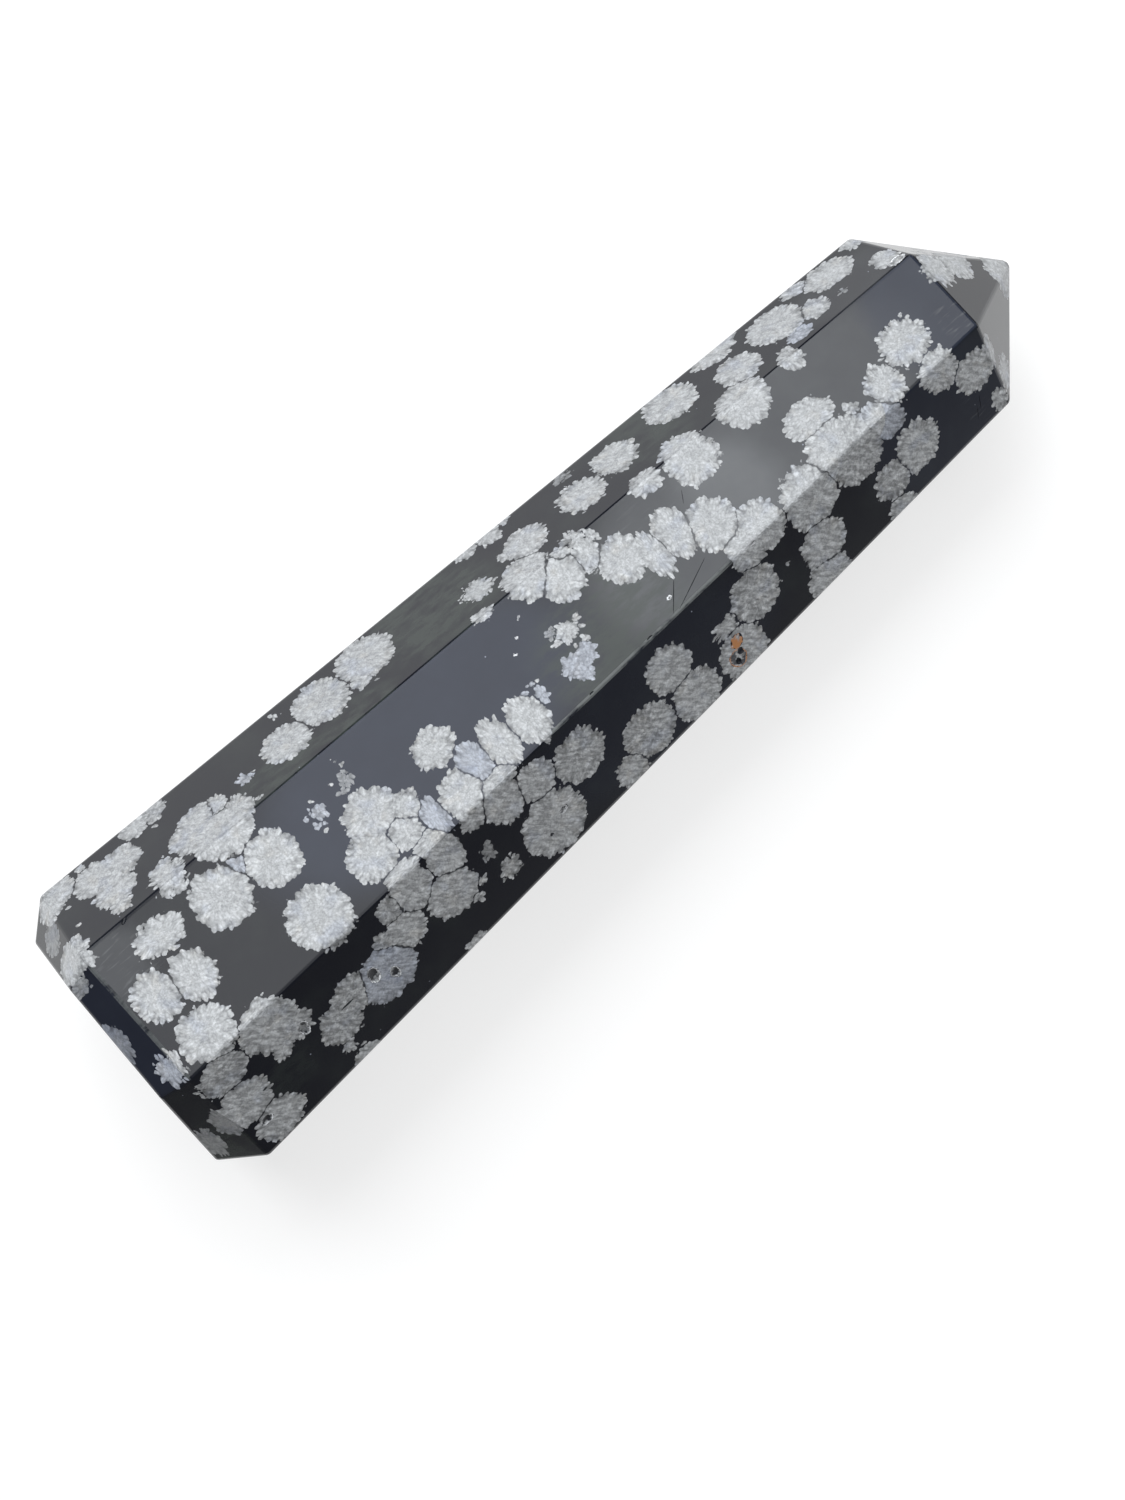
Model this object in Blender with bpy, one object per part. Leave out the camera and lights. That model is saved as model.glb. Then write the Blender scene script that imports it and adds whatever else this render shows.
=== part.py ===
"""Snowflake obsidian obelisk: one hand-cut eight-sided stone, lying on one of its long flats.

The stone is made as a lapidary makes it: a block is ground flat, one flat at a time. Eight long flats
lean in towards the point, eight facets meet at the tip, eight short facets bevel the foot, and the foot
itself is a flat that the stone can stand on. Metres, +Z up, +X from the foot to the tip.
"""

import math

import bmesh
import bpy
from mathutils import Matrix, Vector

MM = 0.001

# Length and the two stations that the flats are measured at
LENGTH = 100.0 * MM
SHOULDER = 90.0 * MM

# Tip, measured from the middle of the foot: it is a little off the long axis
TIP = Vector((LENGTH, -0.5 * MM, 0.3 * MM))

# Long flats in turn round the axis: degrees from straight up towards +Y, then the distance from the
# axis to the flat at the foot and at the shoulder, in mm
LONG_FLATS = (
    ("far_side", 89.7, 13.40, 9.60),
    ("far_upper", 45.8, 13.75, 10.00),
    ("top", 0.3, 13.05, 9.90),
    ("near_upper", -45.6, 13.60, 9.60),
    ("near_side", -93.3, 13.75, 9.45),
    ("near_lower", -136.0, 13.40, 9.75),
    ("rest", 180.0, 13.50, 9.80),
    ("far_lower", 136.0, 13.35, 9.85),
)

# Arrises between each long flat and the next: how far from the foot the foot's bevel ends on it, and
# the tip's facets begin, in mm
FOOT_BEVEL_ENDS = (3.3, 2.7, 2.6, 2.9, 2.8, 3.1, 2.9, 3.0)
TIP_BEGINS = (89.4, 90.2, 90.0, 89.8, 90.1, 89.7, 90.0, 90.3)

# Foot: how far each facet of the bevel comes in at the foot, in mm, and how far the foot is out of
# square, as a slope along Y and along Z
FOOT_INSETS = (2.3, 2.3, 2.1, 2.3, 2.5, 2.2, 2.4, 2.2)
FOOT_SLOPE_Y = 0.041
FOOT_SLOPE_Z = 0.014

# Eased edge left by the polishing wheel
ARRIS_EASE = 0.2 * MM

# Cuts that meet in one corner leave points no further apart than this
SAME_CORNER = 0.01 * MM

# Rough block that the stone is ground from
BLOCK = Vector((130.0, 44.0, 44.0)) * MM

GLASS_BLACK = (0.035, 0.037, 0.042, 1.0)
POLISH_ROUGHNESS = 0.2


def clear_scene():
    for found in list(bpy.data.objects):
        bpy.data.objects.remove(found)


def long_flat(turn, at_foot, at_shoulder):
    """(outward normal, point on the flat) of a long flat that leans in from the foot to the shoulder."""
    angle = math.radians(turn)
    outwards = Vector((0.0, math.sin(angle), math.cos(angle)))
    lean = (at_foot - at_shoulder) * MM / SHOULDER
    return Vector((lean, outwards.y, outwards.z)).normalized(), outwards * (at_foot * MM)


def arris_point(first, second, station):
    """Where the arris between two long flats is, at a distance along the axis."""
    (n1, p1), (n2, p2) = first, second
    square = Matrix(((1.0, 0.0, 0.0), n1, n2))
    return square.inverted() @ Vector((station, n1.dot(p1), n2.dot(p2)))


def facet(first, second, third):
    """(outward normal, point) of the flat through three points, facing away from the middle of the stone."""
    normal = (second - first).cross(third - first).normalized()
    middle = Vector((SHOULDER / 2, 0.0, 0.0))
    if normal.dot(first - middle) < 0:
        normal.negate()
    return normal, first


def all_flats():
    """Every flat of the stone in the order of grinding: the sides, the tip, the foot's bevel, the foot."""
    sides = [long_flat(*sizes) for _, *sizes in LONG_FLATS]
    count = len(sides)
    pairs = [(sides[i], sides[(i + 1) % count]) for i in range(count)]
    shoulder = [arris_point(*pair, at * MM) for pair, at in zip(pairs, TIP_BEGINS)]
    bevel = [arris_point(*pair, at * MM) for pair, at in zip(pairs, FOOT_BEVEL_ENDS)]

    tip_facets = [facet(shoulder[i - 1], shoulder[i], TIP) for i in range(count)]
    foot_facets = []
    for i, (outwards, _) in enumerate(sides):
        across = Vector((0.0, outwards.y, outwards.z)).normalized()
        middle = (bevel[i - 1] + bevel[i]) / 2
        lower = Vector((0.0, middle.y, middle.z)) - across * (FOOT_INSETS[i] * MM)
        lower.x = FOOT_SLOPE_Y * lower.y + FOOT_SLOPE_Z * lower.z
        foot_facets.append(facet(bevel[i - 1], bevel[i], lower))
    foot = (Vector((-1.0, FOOT_SLOPE_Y, FOOT_SLOPE_Z)).normalized(), Vector())
    return [*sides, *tip_facets, *foot_facets, foot]


def grind(stone, normal, point):
    """Cuts away all that lies outside one flat and closes the cut."""
    everything = [*stone.verts, *stone.edges, *stone.faces]
    cut = bmesh.ops.bisect_plane(
        stone, geom=everything, dist=1e-8, plane_co=point, plane_no=normal, clear_outer=True
    )
    rim = [part for part in cut["geom_cut"] if isinstance(part, bmesh.types.BMEdge)]
    bmesh.ops.edgeloop_fill(stone, edges=rim)


def resting_turn():
    """Turns the stone from its own axis to how it lies, with the flat beneath it level."""
    at_foot, at_shoulder = next(sizes for name, _, *sizes in LONG_FLATS if name == "rest")
    return Matrix.Rotation(math.atan2((at_foot - at_shoulder) * MM, SHOULDER), 4, "Y")


def bounds(mesh):
    low = Vector(min(v.co[k] for v in mesh.vertices) for k in range(3))
    high = Vector(max(v.co[k] for v in mesh.vertices) for k in range(3))
    return low, high


def obsidian():
    material = bpy.data.materials.new("snowflake_obsidian")
    material.use_nodes = True
    shader = material.node_tree.nodes["Principled BSDF"]
    shader.inputs["Base Color"].default_value = GLASS_BLACK
    shader.inputs["Roughness"].default_value = POLISH_ROUGHNESS
    shader.inputs["Metallic"].default_value = 0.0
    return material


def make_obelisk():
    stone = bmesh.new()
    placed = Matrix.Translation((LENGTH / 2, 0.0, 0.0)) @ Matrix.Diagonal((*BLOCK, 1.0))
    bmesh.ops.create_cube(stone, size=1.0, matrix=placed)
    for normal, point in all_flats():
        grind(stone, normal, point)
    bmesh.ops.remove_doubles(stone, verts=list(stone.verts), dist=SAME_CORNER)
    bmesh.ops.bevel(
        stone,
        geom=list(stone.edges),
        offset=ARRIS_EASE,
        offset_type="OFFSET",
        segments=1,
        profile=0.5,
        affect="EDGES",
        clamp_overlap=True,
    )
    bmesh.ops.recalc_face_normals(stone, faces=list(stone.faces))
    bmesh.ops.transform(stone, matrix=resting_turn(), verts=list(stone.verts))

    mesh = bpy.data.meshes.new("obelisk")
    stone.to_mesh(mesh)
    stone.free()
    low, high = bounds(mesh)
    mesh.transform(Matrix.Translation((-(low.x + high.x) / 2, -(low.y + high.y) / 2, -low.z)))
    mesh.materials.append(obsidian())

    obelisk = bpy.data.objects.new("obelisk", mesh)
    bpy.context.scene.collection.objects.link(obelisk)


clear_scene()
make_obelisk()
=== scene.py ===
"""Snowflake obsidian obelisk on a pale floor, laid out as a Blender add-on and run as a script.

The stone is ground from a block, flat by flat, to the flats of the CAD stone. Its snowflakes are balls of
crystal inside the glass, so each one shows wherever the polish cuts it, round an arris too. Their places
are given on each flat in mm: along it from the foot, and across it from its middle.
"""

import math
import random

import bpy
import numpy as np
from mathutils import Matrix, Vector


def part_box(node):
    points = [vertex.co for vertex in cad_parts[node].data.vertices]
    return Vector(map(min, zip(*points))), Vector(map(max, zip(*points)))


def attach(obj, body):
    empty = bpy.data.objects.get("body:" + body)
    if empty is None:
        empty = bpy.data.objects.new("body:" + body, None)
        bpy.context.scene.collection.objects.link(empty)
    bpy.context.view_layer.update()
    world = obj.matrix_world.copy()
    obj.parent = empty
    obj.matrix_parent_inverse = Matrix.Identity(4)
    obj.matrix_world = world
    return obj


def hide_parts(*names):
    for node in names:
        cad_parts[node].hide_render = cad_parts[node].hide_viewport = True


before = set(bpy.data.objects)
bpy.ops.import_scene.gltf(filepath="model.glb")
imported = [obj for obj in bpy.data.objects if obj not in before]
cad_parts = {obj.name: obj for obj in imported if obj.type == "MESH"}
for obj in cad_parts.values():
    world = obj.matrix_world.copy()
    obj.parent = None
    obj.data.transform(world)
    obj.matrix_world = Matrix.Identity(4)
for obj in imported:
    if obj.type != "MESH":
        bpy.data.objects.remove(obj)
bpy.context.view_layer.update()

bl_info = {
    "name": "Snowflake obsidian obelisk",
    "version": (1, 0, 0),
    "blender": (4, 5, 0),
    "location": "View3D > Sidebar > Obelisk",
    "description": "An eight-sided polished stone of black glass with grey snowflakes, lying on a pale floor",
    "category": "Object",
}

MM = 0.001
STONE = "polished_obelisk"
CAD_STONE = "obelisk"

# Where the stone's own axis starts at the foot, in mm, and how far the axis dips towards the point
AXIS_START = Vector((-49.339, 0.305, 13.489))
AXIS_DIP = math.radians(2.354)

# Long flats that the camera sees: degrees from straight up towards +Y, then mm from the axis at the foot
# and at the shoulder
SHOULDER = 90.0
LONG_FLATS = {
    "far_upper": (45.8, 13.75, 10.00),
    "top": (0.3, 13.05, 9.90),
    "near_upper": (-45.6, 13.60, 9.60),
}

# Short facets that it sees: outward normal, and the middle of the edge that each shares with its long flat
SHORT_FACETS = {
    "tip_far": ((0.7048, 0.5561, 0.4405), (89.8, 6.97, 7.19)),
    "tip_top": ((0.6954, -0.0129, 0.7185), (90.1, 0.31, 9.90)),
    "tip_near": ((0.6665, -0.5430, 0.5109), (89.9, -6.71, 6.88)),
    "foot_far": ((-0.6685, 0.5623, 0.4867), (3.0, 9.84, 9.42)),
    "foot_top": ((-0.6444, 0.0093, 0.7647), (2.65, 0.15, 12.96)),
    "foot_near": ((-0.6096, -0.5784, 0.5421), (2.75, -10.04, 9.01)),
}

# Snowflakes on each flat: along, across, half length and half width, in mm, then the cluster that it grew
# into and its habits, where it has them. A cluster has no seams inside it.
SNOWFLAKES = {
    "top": (
        (8.1, 3.5, 2.3, 1.5, "", "crumbly"),
        (13.5, 2.55, 2.5, 2.6),
        (4.9, 0.2, 1.9, 2.2),
        (8.1, -0.45, 1.85, 2.2),
        (5.8, -4.4, 2.45, 2.25),
        (11.7, 6.1, 1.4, 1.4, "edge_a", "deep crumbly"),
        (17.1, 6.15, 2.4, 2.0, "edge_b"),
        (15.5, 6.2, 1.3, 1.4, "edge_b"),
        (16.2, 3.55, 0.85, 0.85, "", "bluish"),
        (18.4, 2.2, 2.35, 2.35),
        (17.95, -3.6, 2.7, 2.65),
        (9.8, -6.1, 1.3, 1.1, "edge_c", "thin"),
        (3.0, 5.9, 0.6, 0.9, "foot_a"),
        (2.75, -4.6, 0.5, 1.2, "foot_b", "crumbly"),
        (23.45, 2.35, 0.65, 0.75, "", "bluish"),
        (22.6, 1.8, 0.33, 0.3, "", "bluish"),
        (22.95, 1.55, 0.2, 0.2, "", "bluish"),
        (22.85, 2.85, 0.2, 0.2, "", "bluish"),
        (22.25, 2.75, 0.17, 0.15, "", "bluish"),
        (23.5, 3.45, 0.17, 0.14),
        (22.8, 1.1, 0.12, 0.1),
        (25.65, 3.55, 0.14, 0.13),
        (26.0, 2.3, 0.4, 0.3, "", "faint crumbly"),
        (26.7, 2.9, 0.5, 0.6, "", "faint crumbly"),
        (26.9, 4.9, 0.18, 0.14),
        (27.05, 4.5, 0.2, 0.14),
        (27.35, 4.0, 0.24, 0.26),
        (26.3, -0.3, 2.4, 2.1, "top_a"),
        (24.1, -2.9, 2.05, 2.15, "top_a"),
        (28.6, -1.6, 1.35, 1.35, "top_a"),
        (27.35, -3.1, 1.45, 1.4),
        (24.9, -5.25, 1.9, 0.8, "edge_d"),
        (28.1, -5.1, 1.5, 0.9, "edge_e"),
        (29.8, -3.8, 1.0, 1.85, "", "bluish"),
        (32.6, -3.9, 2.0, 2.0, "edge_f"),
        (33.3, 0.2, 2.0, 1.65),
        (34.9, -2.7, 1.4, 1.85, "", "bluish"),
        (37.5, -2.9, 1.5, 2.3),
        (40.4, -3.1, 1.75, 2.2),
        (42.4, -1.2, 0.4, 0.35, "", "bluish"),
        (41.5, -1.3, 0.28, 0.25, "", "bluish"),
        (42.5, -2.3, 0.6, 0.75, "", "bluish"),
        (43.0, -1.3, 0.15, 0.13),
        (35.7, -4.9, 1.5, 0.8, "edge_g"),
        (43.4, 5.5, 1.1, 0.5, "edge_r"),
        (48.2, 5.2, 2.2, 1.4, "edge_h"),
        (47.6, 0.1, 1.15, 1.0, "", "crumbly"),
        (48.7, 0.4, 0.6, 0.35),
        (46.2, -0.2, 0.5, 0.3),
        (46.4, 0.7, 0.6, 0.35, "", "faint crumbly"),
        (48.2, -1.3, 0.4, 0.35),
        (47.15, -1.4, 0.25, 0.2),
        (45.9, -2.2, 1.1, 0.9, "top_b", "bluish"),
        (47.4, -2.25, 1.0, 0.9, "top_b", "bluish"),
        (46.3, -3.1, 0.95, 1.05, "top_b", "bluish"),
        (50.1, 3.6, 2.1, 2.15),
        (53.0, 3.6, 1.3, 1.5, "edge_i", "crumbly"),
        (52.9, 5.3, 1.0, 0.6, "edge_i", "crumbly faint"),
        (54.2, 4.6, 0.5, 0.6, "edge_i", "crumbly"),
        (52.6, 2.1, 0.6, 0.3),
        (54.8, 1.4, 2.2, 2.1, "top_c"),
        (57.0, -0.1, 1.2, 2.3, "top_c"),
        (59.4, 0.2, 1.7, 2.4),
        (62.1, -1.3, 2.3, 2.35),
        (63.0, -4.4, 2.0, 1.7, "edge_j"),
        (65.0, -3.9, 2.1, 2.1, "edge_j"),
        (60.5, 4.9, 1.55, 0.85, "edge_p"),
        (64.7, 3.8, 2.3, 2.4, "edge_q", "crumbly"),
        (70.8, 4.5, 2.4, 1.5, "edge_k"),
        (76.5, 4.5, 1.05, 1.1, "edge_l"),
        (74.1, -0.1, 2.4, 1.6),
        (74.1, -3.4, 2.8, 2.4, "edge_m"),
        (77.3, -1.9, 0.75, 0.75),
        (78.3, -4.0, 1.6, 1.5, "edge_m"),
        (69.6, -4.6, 2.0, 1.8, "edge_n", "crumbly"),
        (80.7, -2.3, 1.7, 1.8, "", "crumbly"),
        (84.4, -0.8, 2.4, 2.1, "", "crumbly"),
        (85.9, 0.95, 0.17, 0.15),
        (85.0, -4.1, 1.9, 1.0, "edge_o"),
        (55.4, -3.45, 0.24, 0.22, "", "dot"),
        (45.4, 3.4, 0.11, 0.09, "", "dot"),
        (44.15, 2.35, 0.1, 0.1, "", "dot"),
        (43.2, 1.4, 0.1, 0.08, "", "dot"),
    ),
    "far_upper": (
        (4.6, 3.7, 1.6, 1.6, "foot_c"),
        (3.4, 2.7, 1.3, 1.3, "foot_c"),
        (2.6, 1.9, 0.9, 0.9, "foot_c"),
        (2.9, -3.4, 1.1, 1.3, "foot_a"),
        (7.05, 4.35, 0.45, 0.45),
        (4.0, -1.5, 0.22, 0.2),
        (3.9, 0.4, 0.17, 0.15),
        (4.4, 1.2, 0.2, 0.16),
        (4.8, 0.6, 0.13, 0.12),
        (7.4, 1.9, 2.1, 2.0, "far_a"),
        (9.7, 1.5, 1.9, 1.9, "far_a"),
        (8.0, -0.9, 2.0, 2.0, "far_a"),
        (7.6, -3.0, 1.0, 1.1, "far_a"),
        (12.2, 4.1, 1.4, 1.5, "far_b"),
        (14.2, 3.9, 1.3, 1.3, "far_b", "streaky"),
        (13.65, 2.3, 0.35, 0.3),
        (11.7, -3.0, 1.2, 1.2, "edge_a", "crumbly"),
        (12.9, -3.4, 0.5, 0.5, "edge_a"),
        (15.2, -2.0, 2.2, 2.1, "edge_b"),
        (16.4, -0.6, 1.8, 1.6, "edge_b"),
        (18.0, -0.9, 1.1, 1.3),
        (19.2, -3.1, 1.3, 1.7, "edge_b", "crumbly"),
        (17.1, -3.4, 2.3, 1.9, "edge_b"),
        (20.2, -2.3, 0.3, 0.35),
        (20.8, -3.8, 0.4, 0.3),
        (21.2, -0.8, 0.7, 0.8, "", "bluish crumbly"),
        (22.0, -0.6, 0.35, 0.2),
        (25.5, -0.5, 2.25, 2.3),
        (29.75, 0.8, 2.55, 3.0),
        (34.8, 1.6, 2.7, 2.8, "far_c"),
        (33.2, -0.6, 1.0, 1.0, "far_c"),
        (26.3, 3.35, 0.25, 0.35, "", "crumbly"),
        (27.05, 2.95, 0.17, 0.17),
        (34.2, -1.85, 0.2, 0.15, "", "faint"),
        (44.9, -1.2, 1.5, 1.4, "", "crumbly"),
        (43.4, -4.1, 0.9, 0.6, "edge_r"),
        (47.0, 4.0, 1.1, 1.1),
        (49.3, 3.9, 1.25, 1.5),
        (51.1, 4.0, 0.6, 0.8),
        (50.6, -0.3, 2.1, 2.1, "far_d"),
        (48.8, 0.0, 0.8, 0.8, "far_d"),
        (48.5, -3.6, 2.3, 2.2, "edge_h"),
        (51.3, -4.4, 1.1, 0.8, "edge_i"),
        (53.1, -4.1, 0.9, 1.1, "edge_i", "crumbly"),
        (56.7, -0.4, 2.2, 2.2, "", "crumbly"),
        (57.0, 3.4, 0.9, 0.6, "", "faint crumbly"),
        (61.0, 0.7, 2.2, 2.2, "", "crumbly"),
        (60.5, -4.2, 1.4, 1.1, "edge_p"),
        (64.6, -3.9, 2.0, 1.8, "edge_q", "crumbly"),
        (67.7, 1.6, 2.55, 2.5),
        (73.8, 3.6, 2.6, 1.9),
        (73.5, -0.8, 2.15, 2.05),
        (71.2, -4.0, 2.5, 2.0, "edge_k"),
        (78.7, 0.6, 2.65, 2.5, "far_e"),
        (79.0, -2.5, 1.2, 1.0, "far_e", "bluish"),
        (76.6, -3.9, 1.1, 1.3, "edge_l"),
        (81.8, -1.2, 1.4, 1.5),
        (85.4, 1.3, 2.5, 1.95),
        (82.4, 2.7, 1.4, 0.9),
        (89.2, 2.9, 1.1, 1.2, "tip_a"),
        (84.4, -1.9, 0.5, 0.35, "", "faint"),
        (88.8, -2.2, 1.2, 1.6, "chip"),
        # Painted highlight on the chip near the tip
        (89.25, -3.45, 0.75, 0.5, "chip", "bruised"),
    ),
    "near_upper": (
        (4.7, 3.1, 2.3, 1.8, "", "streaky"),
        (4.3, -0.6, 2.6, 2.1, "foot_d"),
        (5.6, -4.1, 2.4, 1.9),
        (9.6, 3.3, 2.6, 2.4, "edge_c", "thin"),
        (11.3, 1.5, 1.5, 1.4, "edge_c"),
        (9.3, 0.8, 1.0, 1.0, "edge_c"),
        (8.0, 3.3, 1.2, 1.3, "edge_c"),
        (13.9, -1.5, 2.0, 2.0, "near_a", "streaky"),
        (16.0, -0.2, 1.9, 1.9, "near_a", "streaky"),
        (13.3, -3.8, 0.7, 0.7, "near_a"),
        (14.3, -4.6, 0.3, 0.25),
        (13.9, -5.9, 1.35, 1.0),
        (19.1, -1.2, 2.85, 2.6, "", "bluish"),
        (22.4, 0.6, 1.9, 1.8, "near_d"),
        (20.6, 1.3, 1.1, 1.0, "near_d", "streaky"),
        (22.4, 3.3, 1.3, 1.3, "", "streaky"),
        (24.7, 3.3, 1.9, 2.3, "edge_d"),
        (28.4, 3.4, 1.7, 2.3, "edge_e"),
        (27.1, 0.1, 2.4, 2.3),
        (29.5, -1.1, 0.45, 0.4),
        (28.6, -2.2, 0.6, 0.5),
        (26.2, -5.6, 1.2, 0.9),
        (31.3, 0.5, 0.8, 0.8, "", "faint crumbly"),
        (32.0, -2.3, 1.2, 1.1, "", "streaky crumbly"),
        (32.0, 4.1, 1.4, 1.1, "edge_f"),
        (34.7, 3.2, 2.0, 2.3, "edge_g"),
        (37.7, 2.4, 1.9, 1.9),
        (37.0, -2.1, 3.2, 3.0),
        (41.8, 1.2, 2.5, 2.4, "", "streaky"),
        (44.8, -3.9, 1.7, 1.6),
        (47.8, -2.2, 2.6, 2.5, "", "streaky"),
        (51.9, 1.1, 2.3, 2.3),
        (52.8, -2.9, 2.5, 2.4),
        (58.1, -3.1, 2.5, 2.4),
        (57.9, 0.1, 1.35, 1.0, "", "crumbly"),
        (61.5, 0.5, 2.6, 2.5, "", "streaky"),
        (62.9, 3.9, 1.9, 1.5, "edge_j"),
        (65.7, 4.1, 1.5, 1.1, "edge_j"),
        (65.2, 0.5, 0.17, 0.13),
        (69.8, 3.4, 2.8, 2.5, "edge_n"),
        (68.9, -0.8, 2.4, 2.2),
        (68.0, -4.0, 2.3, 2.1),
        (75.1, 3.7, 3.0, 2.7, "edge_m", "streaky"),
        (79.0, 3.7, 1.8, 1.6, "edge_m", "bluish"),
        (77.0, -1.2, 1.9, 1.8, "", "streaky"),
        (80.4, -0.3, 2.4, 2.3),
        (76.8, -4.2, 1.6, 1.3),
        (85.3, 3.6, 1.8, 1.8, "edge_o"),
        (88.0, 1.2, 2.1, 1.9, "tip_b"),
        (89.1, -3.0, 0.85, 1.1),
        (4.7, -3.3, 0.65, 0.4, "", "hollow"),
        (6.2, -0.9, 0.3, 0.12, "", "pit"),
        (11.5, 0.75, 0.55, 0.75, "", "hollow"),
        (15.3, -0.6, 0.6, 0.1, "", "pit"),
        (18.25, -0.35, 0.55, 0.85, "", "hollow"),
        (19.65, -1.65, 0.42, 0.6, "", "hollow"),
        (38.3, -1.8, 0.5, 0.3, "", "hollow"),
        (36.3, -2.8, 0.2, 0.15, "", "pit"),
        (57.45, -3.25, 0.95, 0.9, "", "ringed"),
        (57.3, -3.5, 0.3, 0.36, "", "pit"),
        (57.95, -2.85, 0.36, 0.34, "", "pit"),
        (58.1, -1.8, 0.7, 0.7, "", "rusty"),
    ),
    "foot_far": (
        (0.0, 3.4, 1.3, 1.5, "foot_c"),
        (-1.5, 0.9, 1.3, 1.7, "foot_c", "faint"),
        (-1.8, -3.2, 1.8, 1.8, "foot_a"),
    ),
    "foot_top": (
        (-1.3, 6.3, 1.7, 1.2, "foot_a"),
        (-1.9, 4.7, 1.2, 0.75, "foot_a", "faint"),
        (-3.2, -0.3, 1.3, 1.9, "", "bluish faint"),
        (-1.0, -4.7, 1.2, 1.4, "foot_b", "crumbly bluish"),
    ),
    "foot_near": (
        (-0.6, -0.4, 1.2, 1.9, "foot_d", "faint"),
        (-3.0, -2.3, 1.0, 2.0, "", "faint crumbly"),
    ),
    "tip_top": (
        (1.7, 1.9, 2.0, 1.9, "tip_c"),
        (5.3, 1.5, 2.2, 1.9, "tip_c"),
        (10.9, -1.2, 2.2, 2.1),
    ),
    "tip_near": (
        (0.5, 1.2, 0.9, 1.6, "tip_b"),
        (1.6, -2.4, 1.6, 1.5),
    ),
}

# Habits of a snowflake: how deep its heart lies as a share of its radius, its thickness as a share of its
# width, how loose its rim is, how much of its white it has, how blue it is, how much its needles show, by
# how many mm of depth it wins over its neighbours, and its rust: 1 for a stain, 0.5 for a rusty rim and -1
# for a bare pit. A chip's painted highlight has white to spare, so that no gap is left in it.
HABITS = {
    "deep": {"sink": 0.62},
    "thin": {"thickness": 0.5},
    "crumbly": {"looseness": 1.0},
    "faint": {"white": 0.55},
    "bluish": {"blue": 1.0},
    "streaky": {"needles": 1.0},
    "dot": {"rank": 3.0, "sink": 0.1},
    "hollow": {"white": 0.30, "rank": 9.0, "sink": 0.1},
    "bruised": {"white": 3.0, "rank": 9.0, "sink": 0.1},
    "ringed": {"white": 0.55, "rust": 0.5, "rank": 6.0, "sink": 0.1},
    "rusty": {"rust": 1.0, "rank": 4.0, "sink": 0.1},
    "pit": {"white": 0.0, "rank": 12.0, "rust": -1.0, "sink": 0.1},
}
PLAIN_HABIT = {
    "sink": 0.35,
    "thickness": 1.0,
    "looseness": 0.2,
    "white": 1.0,
    "blue": 0.0,
    "needles": 0.25,
    "rank": 0.0,
    "rust": 0.0,
}

# Soft clouds in the glass: flat, along, across, half length, half width, in mm, kind and strength
CLOUDS = (
    ("top", 33.0, 1.0, 19.0, 9.0, "blue", 0.85),
    ("top", 3.6, 4.4, 4.0, 3.5, "pale", 0.3),
    ("top", 50.0, -2.5, 8.0, 6.0, "green", 0.6),
    ("top", 50.0, -2.5, 8.0, 6.0, "pale", 0.15),
    ("top", 60.0, -1.0, 11.0, 8.0, "pale", 0.5),
    ("top", 74.0, 0.5, 15.0, 8.0, "pale", 0.5),
    ("top", 88.0, 0.0, 6.0, 8.0, "blue", 0.7),
    ("top", 4.6, 3.6, 3.0, 3.0, "scratched", 1.0),
    ("top", 89.0, -2.0, 1.6, 2.2, "scratched", 1.0),
    ("top", 60.0, 2.6, 6.0, 2.0, "scratched", 0.5),
    ("near_upper", 87.2, -1.6, 1.6, 2.2, "scratched", 0.8),
    ("tip_near", 3.0, 0.0, 4.0, 2.5, "scratched", 0.4),
    ("far_upper", 41.0, 0.5, 7.5, 6.0, "green", 0.5),
    ("far_upper", 23.0, -3.0, 5.5, 2.5, "green", 0.5),
    ("far_upper", 31.0, -3.6, 4.5, 2.0, "green", 0.6),
    ("far_upper", 64.0, 0.5, 5.0, 5.0, "green", 0.4),
    ("far_upper", 85.0, -1.5, 7.0, 4.0, "pale", 0.15),
    ("near_upper", 50.0, 0.0, 16.0, 7.0, "blue", 0.25),
    ("near_upper", 84.0, 0.0, 10.0, 7.0, "blue", 0.4),
    ("near_upper", 8.0, -1.5, 3.5, 2.5, "green", 0.25),
    ("foot_top", -2.0, 0.0, 4.0, 8.0, "blue", 0.4),
    ("foot_near", -2.0, -3.0, 2.5, 3.5, "green", 0.5),
    ("tip_near", 5.0, 0.0, 10.0, 5.0, "pale", 0.4),
)
CLOUD_KINDS = ("pale", "blue", "green", "scratched")

# How steeply a cloud's edge fades, and how squarely a tile has to face the cloud's way to show it
CLOUD_EDGE = 1.6
CLOUD_FACING = 0.85
CLOUD_FACING_GAIN = 10.0

# Stretches of arris with a painted highlight, a pale line where light catches the edge: the two flats, from
# and to along the stone, in mm, and how strong the painted highlight is. A tile is on the arris if it is no
# further than the reach below both flats.
HIGHLIT_ARRISES = (
    ("top", "near_upper", 41.0, 62.0, 1.0),
    ("top", "foot_top", 0.0, 4.0, 0.6),
)
ARRIS_REACH = 0.12

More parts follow.
